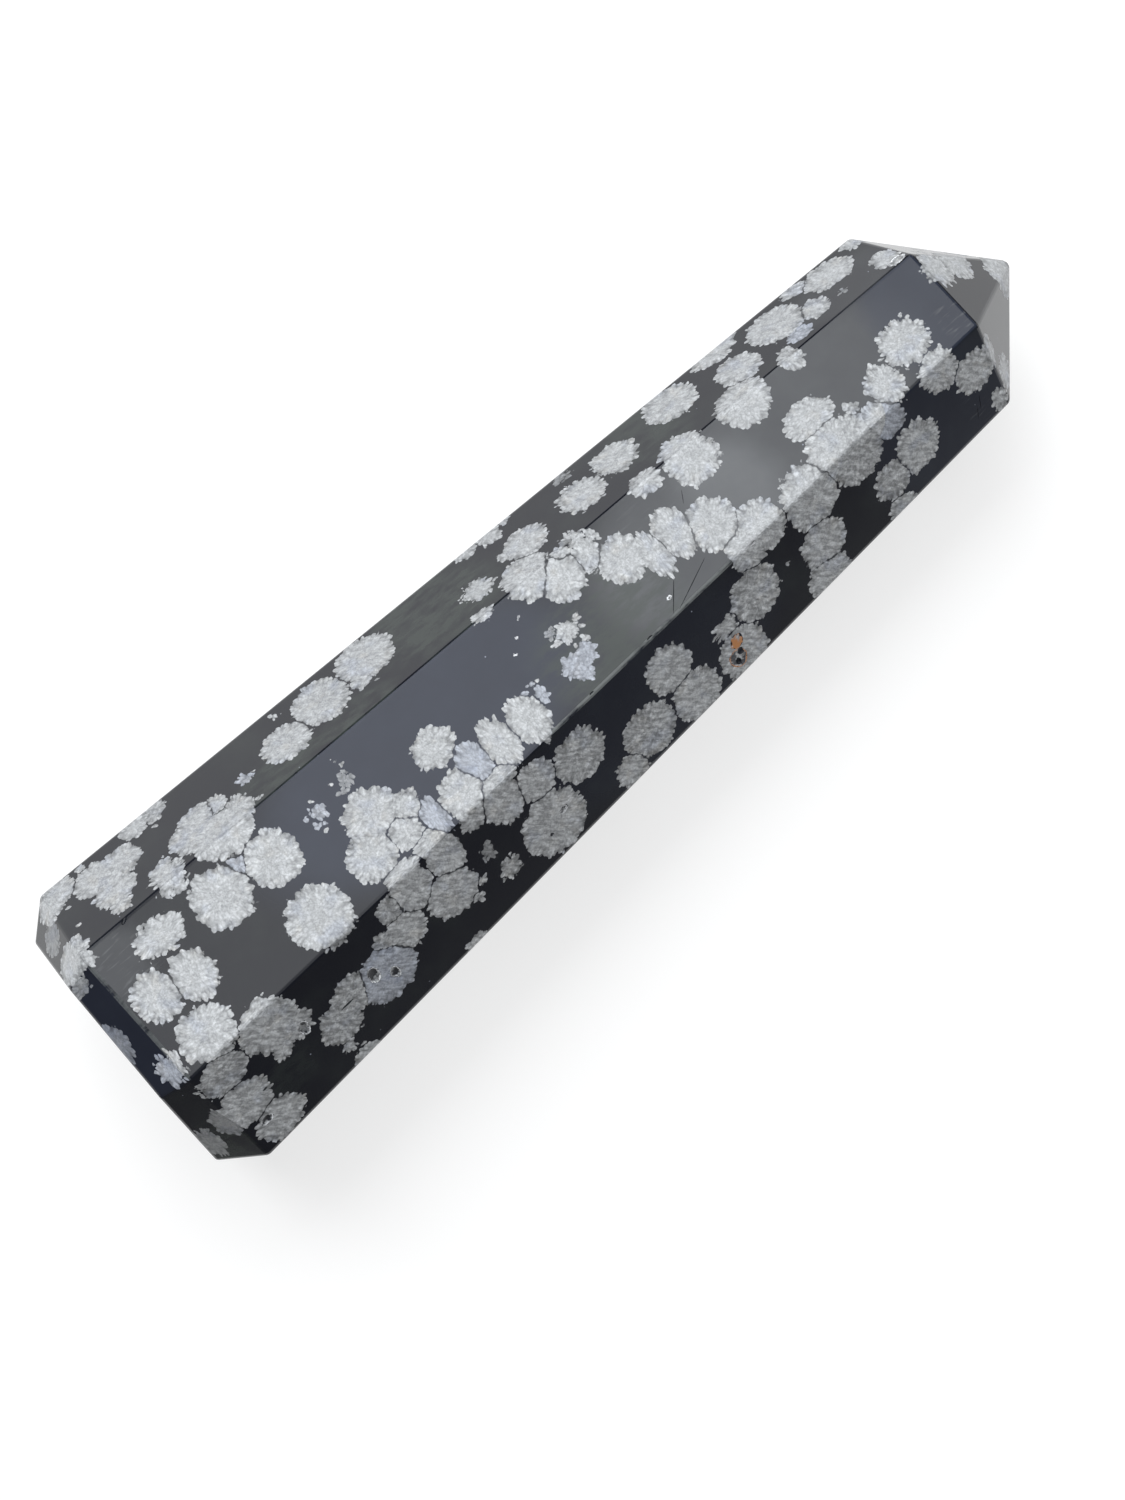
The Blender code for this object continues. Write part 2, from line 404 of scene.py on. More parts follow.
# Scoops out of the surface: flat, along, across, length, width, depth, in mm, and turn in degrees
SCOOPS = (
    ("far_upper", 89.25, -3.45, 1.5, 1.0, 0.07, 0.0),
    ("top", 55.7, -3.55, 2.9, 0.07, 0.08, 46.0),
    ("top", 57.5, -3.8, 5.0, 0.06, 0.08, 21.0),
    ("top", 61.9, 1.9, 1.2, 0.05, 0.05, 55.0),
    ("top", 84.0, 1.05, 0.35, 0.2, 0.12, 70.0),
    ("top", 7.0, 6.25, 0.9, 0.35, 0.15, 30.0),
    ("top", 36.7, 5.63, 0.35, 0.2, 0.08, 0.0),
    ("top", 24.4, 5.93, 0.3, 0.2, 0.08, 10.0),
    ("top", 32.4, 5.74, 0.25, 0.2, 0.07, 0.0),
    ("top", 45.5, -4.93, 0.5, 0.25, 0.1, 0.0),
    ("top", 52.0, -4.75, 0.7, 0.25, 0.1, 0.0),
    ("near_upper", 4.7, -3.3, 1.1, 0.7, 0.16, 20.0),
    ("near_upper", 11.5, 0.75, 0.95, 1.3, 0.16, 0.0),
    ("near_upper", 18.25, -0.35, 0.95, 1.4, 0.16, 0.0),
    ("near_upper", 19.65, -1.65, 0.7, 1.0, 0.16, 0.0),
    ("near_upper", 38.3, -1.8, 0.9, 0.5, 0.14, 20.0),
    ("near_upper", 57.3, -3.5, 0.5, 0.65, 0.2, 0.0),
    ("near_upper", 57.95, -2.85, 0.6, 0.6, 0.15, 0.0),
    ("near_upper", 63.5, 4.45, 0.6, 0.3, 0.1, 0.0),
    ("near_upper", 87.3, -1.7, 1.4, 0.06, 0.05, 75.0),
    ("near_upper", 86.7, -2.4, 1.1, 0.06, 0.05, 70.0),
)

# On each flat: painted shade, as the share of the snowflakes' white that it keeps, so that the snowflakes on
# some flats look less lit, and how much the fibres in them show. Tiles that face its way to within this
# cosine are its own.
FLAT_SHADE_AND_FIBRES = {
    "top": (1.0, 0.10),
    "far_upper": (0.83, 0.18),
    "near_upper": (1.0, 0.40),
    "tip_far": (0.60, 0.0),
    "tip_near": (1.0, 0.0),
}
PLAIN_FLAT_SHADE_AND_FIBRES = (1.0, 0.12)
FLAT_SHADE_FACING = 0.97

# Hidden flats get snowflakes of the same kind, scattered in chains from a fixed seed: radii and clearance
# in mm, and how likely each habit is
SCATTER_SEED = 17
SCATTER_TRIES = 1800
SCATTER_RADII = (1.5, 2.8)
SCATTER_SINK = (0.1, 0.5)
SCATTER_STRETCH = (0.88, 1.12)
SCATTER_OVERLAP = 0.4
SCATTER_CLEARANCE = 0.15
SCATTER_HABITS = {"": 8, "crumbly": 2, "streaky": 2, "bluish": 1, "faint": 0.5}
SMALL_SHARE = 0.3
SMALL_RADII = (0.25, 0.9)
LONGEST_CHAIN = 6
SEEN_FACES = tuple(SNOWFLAKES)

# How many snowflakes each tile knows, how near in mm one that wins over its neighbours has to be to come
# first, and how many tiles are measured at once
NEAREST = 5
WINNING_REACH = 0.6
TILES_AT_ONCE = 2000

# Each snowflake's lobes start from another place in the same pattern, in steps that come round again
LOBE_STEP = 7.31
LOBE_CYCLE = 19.0

# Grinding: how much wider than the stone the block is, how near two cuts have to be to make one corner,
# and how alike two triangles have to be to make one flat
BLOCK_MARGIN = 1.1
CUT_THRESHOLD = 1e-7
SAME_CORNER = 0.02 * MM
SAME_PLANE = 0.01 * MM
SAME_TURN = 0.99999
SMOOTH_UNDER = math.radians(6.0)


def length_setting(name, description, default):
    return bpy.props.FloatProperty(name=name, description=description, default=default, unit="LENGTH")


def light_setting(name, description, default):
    return bpy.props.FloatProperty(name=name, description=description, default=default, min=0.0)


def colour_setting(name, description, default):
    return bpy.props.FloatVectorProperty(
        name=name, description=description, default=default, subtype="COLOR", min=0.0, max=1.0
    )


class StoneSizes(bpy.types.PropertyGroup):
    """Sizes of the ground and polished stone."""

    arris_ease: length_setting(
        "Arris ease",
        "Width of the eased edge that the polishing wheel leaves between two flats",
        0.2 * MM,
    )
    narrowest_flat: length_setting(
        "Narrowest flat",
        "Flats of the CAD stone that are narrower than this are its eased edges",
        1.0 * MM,
    )
    tile: length_setting(
        "Tile",
        "Size of the tiles that the surface is cut into, each with its nearest snowflakes",
        1.0 * MM,
    )


class GlassColours(bpy.types.PropertyGroup):
    """Colours of the stone."""

    glass: colour_setting("Glass", "Black volcanic glass", (0.006, 0.007, 0.012))
    haze: colour_setting("Green haze", "Grey-green mottling in the glass", (0.042, 0.053, 0.046))
    pale_haze: colour_setting("Pale haze", "Grey clouding in the glass", (0.115, 0.120, 0.128))
    blue_haze: colour_setting("Blue haze", "Blue-grey clouding in the glass", (0.026, 0.032, 0.052))
    snow: colour_setting("Snowflake", "Crystal of the snowflakes", (0.525, 0.538, 0.553))
    blue_snow: colour_setting("Blue snowflake", "Crystal seen through a skin of glass", (0.40, 0.435, 0.52))
    # Painted highlight: a pale line along some arrises, where light catches the eased edge
    highlit: colour_setting("Worn arris", "Frosted glass where an arris is worn", (0.14, 0.15, 0.15))
    # Painted highlight on the rim of a hollow and on a chip
    glint: colour_setting("Glint", "Bruised rim of a hollow", (0.92, 0.94, 0.97))
    rust: colour_setting("Rust", "Iron stain in one snowflake", (0.47, 0.20, 0.07))


class StudioSettings(bpy.types.PropertyGroup):
    """Floor and lights."""

    floor_size: length_setting("Floor size", "Side of the pale floor", 1.6)
    floor_colour: colour_setting("Floor", "Pale matt floor", (0.32, 0.32, 0.32))
    floor_glow: light_setting(
        "Floor glow",
        "Light that the floor gives off itself, as a light table does, so that shadows stay faint",
        0.72,
    )
    softbox_power: light_setting("Softbox", "Power of the large softbox overhead, in watts", 1.25)
    side_power: light_setting("Side light", "Power of the light behind the stone, in watts", 2.7)
    room_light: light_setting("Room", "How pale the room beyond the floor is", 0.80)
    tent_light: light_setting(
        "Tent",
        "How pale the dim tent round the stone is, which shows only as reflections in its polish",
        0.1,
    )


def select_only(piece):
    """Leaves one object selected and active, out of edit mode."""
    if bpy.context.object and bpy.context.object.mode != "OBJECT":
        bpy.ops.object.mode_set(mode="OBJECT")
    bpy.ops.object.select_all(action="DESELECT")
    piece.select_set(True)
    bpy.context.view_layer.objects.active = piece


def axis_to_row(vector):
    """Turns a direction on the stone's own axes to one on the row's axes."""
    turn = Matrix.Rotation(AXIS_DIP, 3, "Y")
    return turn @ Vector(vector)


def face_axes(name):
    """(point, along, across, outward normal) of a named flat, in mm on the row's axes."""
    if name in LONG_FLATS:
        turn, at_foot, at_shoulder = LONG_FLATS[name]
        angle = math.radians(turn)
        outwards = Vector((0.0, math.sin(angle), math.cos(angle)))
        normal = Vector(((at_foot - at_shoulder) / SHOULDER, outwards.y, outwards.z)).normalized()
        point = outwards * at_foot
    else:
        normal, point = (Vector(value) for value in SHORT_FACETS[name])
        normal.normalize()
    along = (Vector((1.0, 0.0, 0.0)) - normal * normal.x).normalized()
    across = normal.cross(along)
    return axis_to_row(point) + AXIS_START, axis_to_row(along), axis_to_row(across), axis_to_row(normal)


class Snowflake:
    """One ball of crystal: its heart, its shape as a matrix, and its habit."""

    def __init__(self, heart, axes, radii, cluster, habit):
        self.heart = heart
        self.radius = sum(radii) / 3
        self.cluster = cluster
        self.habit = habit
        turned = Matrix(axes).transposed()
        self.shape = turned @ Matrix.Diagonal([1.0 / r for r in radii]) @ turned.transposed()


def habit_of(words):
    """A plain snowflake's habit, changed as the words say."""
    habit = dict(PLAIN_HABIT)
    for word in words.split():
        habit.update(HABITS[word])
    return habit


def snowflake_on(face, along, across, half_length, half_width, cluster, habit):
    """A snowflake whose cut through a flat has the given place and size."""
    point, right, up, normal = face_axes(face)
    widen = 1.0 / math.sqrt(1.0 - habit["sink"] ** 2)
    radii = [half_length * widen, half_width * widen]
    thick = sum(radii) / 2 * habit["thickness"]
    heart = point + right * along + up * across - normal * (habit["sink"] * thick)
    return Snowflake(heart, (right, up, normal), (*radii, thick), cluster, habit)


def listed_snowflakes():
    """The snowflakes that are listed, with a number for each cluster."""
    clusters = {}
    found = []
    for face, rows in SNOWFLAKES.items():
        for along, across, half_length, half_width, *marks in rows:
            cluster, habits = (*marks, "", "")[:2]
            number = clusters.setdefault(cluster or len(clusters), len(clusters))
            cut = (along, across, half_length, half_width)
            found.append(snowflake_on(face, *cut, number, habit_of(habits)))
    return found


def scattered_snowflakes(listed, stone):
    """More of the same in chains on the flats that aren't listed, clear of those that are."""
    dice = random.Random(SCATTER_SEED)
    seen = [face_axes(name) for name in SEEN_FACES]
    tiles = stone.data.polygons
    middles = np.array([tile.center for tile in tiles]) / MM
    areas = [tile.area for tile in tiles]
    found = []

    def is_clear(heart, radius):
        room = radius + SCATTER_CLEARANCE
        if any((heart - point).dot(outwards) > -room for point, _, _, outwards in seen):
            return False
        for other in (*listed, *found):
            overlap = SCATTER_OVERLAP * min(other.radius, radius)
            if (other.heart - heart).length < other.radius + radius - overlap:
                return False
        return True

    for _ in range(SCATTER_TRIES):
        tile = dice.choices(range(len(areas)), areas)[0]
        small = dice.random() < SMALL_SHARE
        for _ in range(1 if small else dice.randint(1, LONGEST_CHAIN)):
            radius = dice.uniform(*(SMALL_RADII if small else SCATTER_RADII))
            normal = tiles[tile].normal
            heart = Vector(middles[tile]) - normal * (dice.uniform(*SCATTER_SINK) * radius)
            if not is_clear(heart, radius):
                break
            habit = habit_of(dice.choices(list(SCATTER_HABITS), SCATTER_HABITS.values())[0])
            stretch = dice.uniform(*SCATTER_STRETCH)
            radii = (radius * stretch, radius / stretch, radius)
            number = len(listed) + len(found)
            found.append(Snowflake(heart, Matrix.Identity(3), radii, number, habit))
            way = normal.cross(Vector([dice.uniform(-1.0, 1.0) for _ in range(3)])).normalized()
            goal = Vector(middles[tile]) + way * (radius * 2.0)
            tile = int(np.argmin(((middles - np.array(goal)) ** 2).sum(axis=1)))
    return found


def cad_flats(narrowest):
    """(point, outward normal) of each flat of the CAD stone that is wider than its eased edges."""
    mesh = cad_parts[CAD_STONE].data
    groups = []
    for polygon in mesh.polygons:
        for group in groups:
            same_turn = group["normal"].dot(polygon.normal) > SAME_TURN
            if same_turn and abs(group["normal"].dot(polygon.center - group["point"])) < SAME_PLANE:
                break
        else:
            group = {
                "normal": polygon.normal.copy(),
                "point": polygon.center.copy(),
                "area": 0.0,
                "corners": [],
            }
            groups.append(group)
        group["area"] += polygon.area
        group["corners"] += [mesh.vertices[i].co for i in polygon.vertices]
    flats = []
    for group in groups:
        longest = max((a - b).length for a in group["corners"] for b in group["corners"])
        if group["area"] / longest > narrowest:
            flats.append((group["point"], group["normal"]))
    return flats


def grind_block(flats, low, high):
    """A block of the stone's size, cut down flat by flat."""
    bpy.ops.object.select_all(action="DESELECT")
    bpy.ops.mesh.primitive_cube_add(size=1.0, location=(low + high) / 2)
    stone = bpy.context.object
    stone.name = STONE
    stone.data.name = STONE
    stone.scale = (high - low) * BLOCK_MARGIN
    bpy.ops.object.transform_apply(location=True, rotation=True, scale=True)
    bpy.ops.object.mode_set(mode="EDIT")
    for point, normal in flats:
        bpy.ops.mesh.select_all(action="SELECT")
        bpy.ops.mesh.bisect(
            plane_co=point, plane_no=normal, use_fill=True, clear_outer=True, threshold=CUT_THRESHOLD
        )
    bpy.ops.mesh.select_all(action="SELECT")
    bpy.ops.mesh.remove_doubles(threshold=SAME_CORNER)
    bpy.ops.mesh.normals_make_consistent(inside=False)
    bpy.ops.object.mode_set(mode="OBJECT")
    return stone


def ease_arrises(stone, ease):
    """Rounds every edge a little, as the polishing wheel does."""
    select_only(stone)
    bpy.ops.object.mode_set(mode="EDIT")
    bpy.ops.mesh.select_all(action="SELECT")
    bpy.ops.mesh.bevel(
        offset=ease,
        offset_type="OFFSET",
        segments=2,
        profile=0.5,
        affect="EDGES",
        clamp_overlap=True,
    )
    bpy.ops.object.mode_set(mode="OBJECT")


def cut_into_tiles(stone, tile):
    """Cuts the surface along an even grid, so that each small tile can carry its own snowflakes."""
    select_only(stone)
    low = Vector(min(v.co[k] for v in stone.data.vertices) for k in range(3))
    high = Vector(max(v.co[k] for v in stone.data.vertices) for k in range(3))
    bpy.ops.object.mode_set(mode="EDIT")
    for k in range(3):
        normal = Vector([1.0 if k == i else 0.0 for i in range(3)])
        count = int((high[k] - low[k]) / tile)
        for step in range(1, count + 1):
            place = normal * (low[k] + step * (high[k] - low[k]) / (count + 1))
            bpy.ops.mesh.select_all(action="SELECT")
            bpy.ops.mesh.bisect(plane_co=place, plane_no=normal, threshold=CUT_THRESHOLD)
    bpy.ops.object.mode_set(mode="OBJECT")


def vectors_of(items, name):
    """One vector of each vertex or tile, as the rows of an array."""
    found = np.empty(len(items) * 3)
    items.foreach_get(name, found)
    return found.reshape(-1, 3)


def counts_of(items, name):
    """One whole number of each corner or tile."""
    found = np.empty(len(items), dtype=int)
    items.foreach_get(name, found)
    return found


def write_layer(mesh, name, values):
    """Stores four numbers on each corner of each tile."""
    layer = mesh.attributes.new(name, "FLOAT_COLOR", "CORNER")
    layer.data.foreach_set("color", values.astype(np.float32).ravel())


def nearest_snowflakes(middles, hearts, shapes, radii, ranks):
    """For each tile, the numbers of the snowflakes that its middle is deepest in or nearest to."""
    nearest = np.empty((len(middles), NEAREST), dtype=int)
    for start in range(0, len(middles), TILES_AT_ONCE):
        away = middles[start : start + TILES_AT_ONCE, None, :] - hearts
        inside = radii * (1.0 - np.linalg.norm(np.einsum("kij,pkj->pki", shapes, away), axis=2))
        inside += ranks * (inside > -WINNING_REACH)
        nearest[start : start + TILES_AT_ONCE] = np.argsort(-inside, axis=1)[:, :NEAREST]
    return nearest


def store_snowflakes(stone, snowflakes):
    """Writes on each corner of each tile where it is inside the tile's nearest snowflakes."""
    mesh = stone.data
    places = vectors_of(mesh.vertices, "co") / MM
    middles = vectors_of(mesh.polygons, "center") / MM
    corner_face = np.repeat(np.arange(len(mesh.polygons)), counts_of(mesh.polygons, "loop_total"))
    places = places[counts_of(mesh.loops, "vertex_index")]
    facing = vectors_of(mesh.polygons, "normal")[corner_face]

    # On each corner: the painted highlight along some arrises, then 0, how much the fibres show, and the
    # painted shade of its flat
    skin = np.array([(0.0, 0.0, PLAIN_FLAT_SHADE_AND_FIBRES[1], PLAIN_FLAT_SHADE_AND_FIBRES[0])] * len(mesh.loops))
    for name, (clear, fibres) in FLAT_SHADE_AND_FIBRES.items():
        skin[facing @ np.array(face_axes(name)[3]) > FLAT_SHADE_FACING] = (0.0, 0.0, fibres, clear)
    skin[:, 0] = arris_highlight_at(middles)[corner_face]
    write_layer(mesh, "skin", skin)
    write_layer(mesh, "clouds", clouds_at(places, facing))

    hearts = np.array([flake.heart for flake in snowflakes])
    shapes = np.array([[list(row) for row in flake.shape] for flake in snowflakes])
    radii = np.array([flake.radius for flake in snowflakes])
    habits = [flake.habit for flake in snowflakes]
    ranks = np.array([habit["rank"] for habit in habits])
    clusters = np.array([flake.cluster for flake in snowflakes])
    starts = np.arange(len(snowflakes)) * LOBE_STEP % LOBE_CYCLE
    looseness, white, needles, blue, rust = (
        np.array([habit[word] for habit in habits])
        for word in ("looseness", "white", "needles", "blue", "rust")
    )
    growth = np.column_stack([clusters, looseness, white, needles])
    tint = np.column_stack([starts, blue, ranks, rust])
    nearest = nearest_snowflakes(middles, hearts, shapes, radii, ranks)
    for rank in range(NEAREST):
        chosen = nearest[corner_face, rank]
        spot = np.einsum("cij,cj->ci", shapes[chosen], places - hearts[chosen])
        write_layer(mesh, f"spot_{rank}", np.column_stack([spot, radii[chosen]]))
        write_layer(mesh, f"growth_{rank}", growth[chosen])
        write_layer(mesh, f"tint_{rank}", tint[chosen])


def arris_highlight_at(places):
    """How strong the painted arris highlight is at each place, in mm, and 0 off its stretches."""
    highlit = np.zeros(len(places))
    for first, second, start, end, highlight_strength in HIGHLIT_ARRISES:
        near = (places[:, 0] - AXIS_START.x > start) & (places[:, 0] - AXIS_START.x < end)
        for name in (first, second):
            point, _, _, normal = face_axes(name)
            near &= (places - np.array(point)) @ np.array(normal) > -ARRIS_REACH
        highlit[near] = highlight_strength
    return highlit


def clouds_at(places, facing):
    """How much of each kind of cloud there is at each place, in mm. A cloud ends at its flat's arrises."""
    haze = np.zeros((len(places), 4))
    for face, along, across, half_length, half_width, kind, strength in CLOUDS:
        point, right, up, normal = face_axes(face)
        away = places - np.array(point + right * along + up * across)
        out = (away @ np.array(right) / half_length) ** 2 + (away @ np.array(up) / half_width) ** 2
        share = np.clip((1.0 - out) * CLOUD_EDGE, 0.0, 1.0)
        share *= np.clip((facing @ np.array(normal) - CLOUD_FACING) * CLOUD_FACING_GAIN, 0.0, 1.0)
        haze[:, CLOUD_KINDS.index(kind)] += share * share * (3.0 - 2.0 * share) * strength
    return np.clip(haze, 0.0, 1.0)


def scoop_out(stone):
    """Chips, pits and cracks: each is cut with a flattened ball that is pressed into a flat."""
    bpy.ops.object.select_all(action="DESELECT")
    balls = []
    for face, along, across, length, width, depth, turn in SCOOPS:
        point, right, up, normal = face_axes(face)
        middle = (point + right * along + up * across) * MM
        bpy.ops.mesh.primitive_ico_sphere_add(subdivisions=3, radius=1.0, location=middle)
        ball = bpy.context.object
        turned = Matrix((right, up, normal)).transposed() @ Matrix.Rotation(math.radians(turn), 3, "Z")
        ball.rotation_euler = turned.to_euler()
        ball.scale = Vector((length / 2, width / 2, depth)) * MM
        balls.append(ball)
    bpy.ops.object.select_all(action="DESELECT")
    for ball in balls:
        ball.select_set(True)
    bpy.context.view_layer.objects.active = balls[0]
    bpy.ops.object.transform_apply(location=True, rotation=True, scale=True)
    bpy.ops.object.join()
    cutter = bpy.context.object
    select_only(stone)
    cut = stone.modifiers.new("scoops", "BOOLEAN")
    cut.operation = "DIFFERENCE"
    cut.solver = "EXACT"
    cut.use_self = True
    cut.object = cutter
    bpy.ops.object.modifier_apply(modifier=cut.name)
    bpy.data.objects.remove(cutter)


class Wire:
    """A socket that can be used in sums; each sum adds its Math node."""

    def __init__(self, bench, socket):
        self.bench = bench
        self.socket = socket

    def sum(self, operation, *others):
        return self.bench.node("ShaderNodeMath", {"operation": operation}, (self, *others))[0]

    def __add__(self, other):
        return self.sum("ADD", other)

    def __sub__(self, other):
        return self.sum("SUBTRACT", other)

    def __mul__(self, other):
        return self.sum("MULTIPLY", other)

    def __truediv__(self, other):
        return self.sum("DIVIDE", other)

    def __pow__(self, other):
        return self.sum("POWER", other)

    def __gt__(self, other):
        return self.sum("GREATER_THAN", other)

    def __lt__(self, other):
        return self.sum("LESS_THAN", other)

    def __radd__(self, other):
        return self + other

    def __rmul__(self, other):
        return self * other

    def __rsub__(self, other):
        return self.bench.node("ShaderNodeMath", {"operation": "SUBTRACT"}, (other, self))[0]

    def __rtruediv__(self, other):
        return self.bench.node("ShaderNodeMath", {"operation": "DIVIDE"}, (other, self))[0]

    def largest(self, other):
        return self.sum("MAXIMUM", other)

    def smallest(self, other):
        return self.sum("MINIMUM", other)

    def size(self):
        return self.sum("ABSOLUTE")


class Bench:
    """The material's node tree, with one method that adds any node."""

    def __init__(self, tree):
        self.tree = tree

    def node(self, kind, settings, values):
        """Adds a node: its settings first, then its sockets' values or wires. Gives its outputs as wires."""
        node = self.tree.nodes.new(kind)
        for name, value in settings.items():
            setattr(node, name, value)
        pairs = values.items() if isinstance(values, dict) else enumerate(values)
        for key, value in pairs:
            if isinstance(value, Wire):
                self.tree.links.new(value.socket, node.inputs[key])
            else:
                node.inputs[key].default_value = value
        return [Wire(self, socket) for socket in node.outputs if socket.enabled]

    def smooth(self, value, low, high):
        """0 below low and 1 above high, with a soft step between."""
        settings = {"interpolation_type": "SMOOTHSTEP"}
        values = {"Value": value, "From Min": low, "From Max": high}
        return self.node("ShaderNodeMapRange", settings, values)[0]

    def mix(self, share, first, second):
        """Between two numbers."""
        return self.node("ShaderNodeMix", {"data_type": "FLOAT"}, {0: share, 2: first, 3: second})[0]

    def mix_vectors(self, share, first, second):
        return self.node("ShaderNodeMix", {"data_type": "VECTOR"}, {0: share, 4: first, 5: second})[0]

    def mix_colours(self, share, first, second):
        return self.node("ShaderNodeMix", {"data_type": "RGBA"}, {0: share, 6: first, 7: second})[0]

    def tinted(self, colour, tint):
        """A colour times another."""
        settings = {"data_type": "RGBA", "blend_type": "MULTIPLY"}
        return self.node("ShaderNodeMix", settings, {0: 1.0, 6: colour, 7: tint})[0]

    def move(self, operation, *values):
        """Vector Math."""
        return self.node("ShaderNodeVectorMath", {"operation": operation}, values)[0]

    def length(self, vector):
        return self.node("ShaderNodeVectorMath", {"operation": "LENGTH"}, {0: vector})[0]

    def stretch(self, vector, factor):
        return self.node("ShaderNodeVectorMath", {"operation": "SCALE"}, {0: vector, "Scale": factor})[0]

    def stored(self, name):
        """(vector, fourth value) of an attribute of the piece."""
        _, vector, _, alpha = self.node("ShaderNodeAttribute", {"attribute_name": name}, {})
        return vector, alpha

    def parts(self, vector):
        return self.node("ShaderNodeSeparateXYZ", {}, {0: vector})

    def joined(self, *numbers):
        return self.node("ShaderNodeCombineXYZ", {}, numbers)[0]

    def cloud(self, vector, scale, detail, roughness):
        """Noise from 0 to 1, as a number and as a colour."""
        values = {"Vector": vector, "Scale": scale, "Detail": detail, "Roughness": roughness}
        return self.node("ShaderNodeTexNoise", {}, values)

    def blots(self, vector, scale, low, high, roughness=0.5):
        """Noise as soft blots: 0 where it is below low and 1 above high."""
        return self.smooth(self.cloud(vector, scale, 2.0, roughness)[0], low, high)

    def cells(self, vector, scale, randomness=1.0):
        """Voronoi cells: (distance from the nearest cell's heart, three dice of that cell)."""
        values = {"Vector": vector, "Scale": scale, "Randomness": randomness}
        distance, dice, _ = self.node("ShaderNodeTexVoronoi", {"feature": "F1"}, values)
        return distance, dice


def opaque(colour):
    return (*colour, 1.0)


# Numbers and vectors that say how a place lies in a snowflake
FLAKE_NUMBERS = ("depth", "win", "radius", "needles", "rust")
FLAKE_VECTORS = ("spot", "growth", "tint")

# Lobes of a snowflake's rim, in mm: their width, how far they swell, how they fan out (1 would keep them
# even and 0 would make them rays), the fine beads on them, how far the rim is set back for them, how far
# the whole outline wavers, and the width of the seam where two snowflakes meet
LOBE = 0.46
LOBE_SWELL = 1.2
LOBE_STRETCH = 0.55
BEAD = 0.16
RIM_SET_BACK = 0.02
RIM_WOBBLE = 0.32
SEAM = 0.035

# Fibres in the crystal: three ways across the stone, each as long as there are fibres in a mm that way
FIBRE_WAYS = (
    (0.66, -0.61, 0.02),
    (-2.56, -2.76, -0.53),
    (0.17, 0.13, -1.48),
)

WARM_TINT = (1.05, 1.0, 0.93, 1.0)
GLASS_ROUGHNESS = 0.17
CRYSTAL_ROUGHNESS = 0.42
GLASS_IOR = 1.49

# Crystal stands this far out of the glass, in mm
RELIEF = 0.012
RELIEF_STRENGTH = 0.6


def snowflake_field(bench, place):
    """Where the surface is snowflake, how deep inside one it is, and that one's cells and habit."""
    cloud = bench.cloud(place, 0.6, 3.0, 0.6)[1]
    wobble = bench.stretch(bench.move("SUBTRACT", cloud, (0.5, 0.5, 0.5)), 2.0 * RIM_WOBBLE)
    flakes = []
    for rank in range(NEAREST):
        spot, radius = bench.stored(f"spot_{rank}")
        growth, needles = bench.stored(f"growth_{rank}")
        tint, rust = bench.stored(f"tint_{rank}")
        moved = bench.move("ADD", spot, bench.stretch(wobble, 1.0 / radius))
        depth = radius * (1.0 - bench.length(moved))
        flakes.append(
            {
                "depth": depth,
                "win": depth + bench.parts(tint)[2] * (depth > 0.0),
                "spot": moved,
                "radius": radius,
                "growth": growth,
                "needles": needles,
                "tint": tint,
                "rust": rust,
            }
        )

    def pick(share, first, second):
        """The first snowflake where share is 0, and the second where it is 1."""
        numbers = {key: bench.mix(share, first[key], second[key]) for key in FLAKE_NUMBERS}
        vectors = {key: bench.mix_vectors(share, first[key], second[key]) for key in FLAKE_VECTORS}
        return {**numbers, **vectors}

    swap = flakes[1]["win"] > flakes[0]["win"]
    best = pick(swap, flakes[0], flakes[1])
    rest = pick(swap, flakes[1], flakes[0])
    for flake in flakes[2:]:
        swap = flake["win"] > best["win"]
        rest = pick(swap, pick(flake["win"] > rest["win"], rest, flake), best)
        best = pick(swap, best, flake)

    cluster, looseness, white = bench.parts(best["growth"])
    other_cluster = bench.parts(rest["growth"])[0]
    number, blue, special = bench.parts(best["tint"])
    hollow = bench.smooth(special, 1.0, 2.0) * (best["rust"] < 0.8)
    apart = bench.smooth((cluster - other_cluster).size(), 0.2, 0.6)

    # Cells that fan out from the snowflake's heart
    radius = best["radius"]
    out = bench.length(best["spot"]).largest(0.02)
    fan = bench.stretch(best["spot"], out ** (LOBE_STRETCH - 1.0) * radius / LOBE)
    moved = bench.move("ADD", fan, bench.joined(number, number * 1.7, number * -0.6))
    distance, dice = bench.cells(moved, 1.0, 0.9)
    dice = bench.parts(dice)
    beads = bench.cells(place, 3.6)[0]
    fine = bench.cloud(place, 5.0, 2.0, 0.6)[0]
    lobes = (0.5 - distance) * (LOBE * LOBE_SWELL) + (0.45 - beads) * BEAD + (fine - 0.5) * 0.10
    lobes = lobes + (dice[0] - 0.5) * (0.10 + 0.9 * looseness) * LOBE - RIM_SET_BACK
    lobes = lobes * (1.0 - hollow)
    depth = best["depth"] + hollow * (fine - 0.5) * 0.5
    edge = depth + lobes
    gap = (best["win"] - rest["win"]) * 0.5 + lobes * 0.35 - SEAM
    seam = (1.0 - bench.smooth(gap, -0.05, 0.07)) * apart * bench.smooth(rest["depth"], -0.30, 0.0)
    mask = bench.smooth(edge, -0.04, 0.04) * (1.0 - seam * 0.85)
    return {
        "mask": mask,
        "depth": depth,
        "distance": distance,
        "luck": dice[1],
        "white": white,
        "blue": blue,
        "needles": best["needles"],
        "rust": best["rust"],
        "hollow": hollow,
        "moved": moved,
    }


